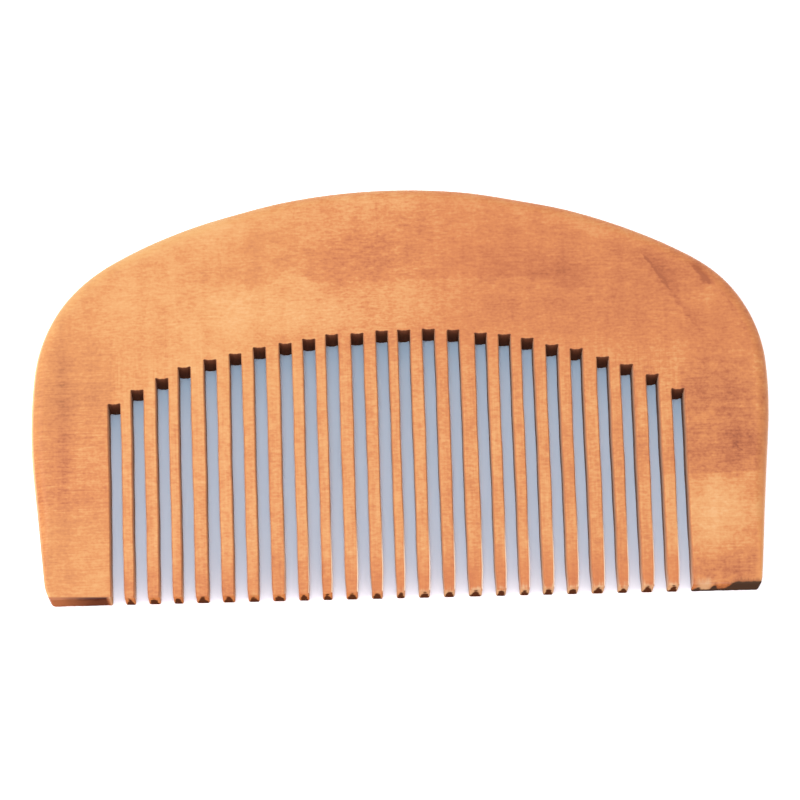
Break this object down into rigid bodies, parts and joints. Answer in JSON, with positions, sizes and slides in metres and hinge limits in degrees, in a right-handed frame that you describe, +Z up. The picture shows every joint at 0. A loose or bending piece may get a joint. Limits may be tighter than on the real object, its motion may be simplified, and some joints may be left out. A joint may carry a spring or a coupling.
{
  "type": "wooden comb",
  "caption": "Half-moon hair comb sawn from one piece of wood, with a long arched back, rounded shoulders, slender teeth and a broad guard at each end.",
  "frame": {"origin": "middle of the comb's bounding box, on the surface that it lies on", "axes": "+X along the comb's length, to the right of one who looks at the upper face with the teeth towards them; +Y from the teeth to the back; +Z up through the thickness"},
  "size_m": [0.1249, 0.07, 0.009],
  "materials": {
    "wood": "satin"
  },
  "bodies": {
    "root": {"comb": "wood"}
  },
  "joints": []
}
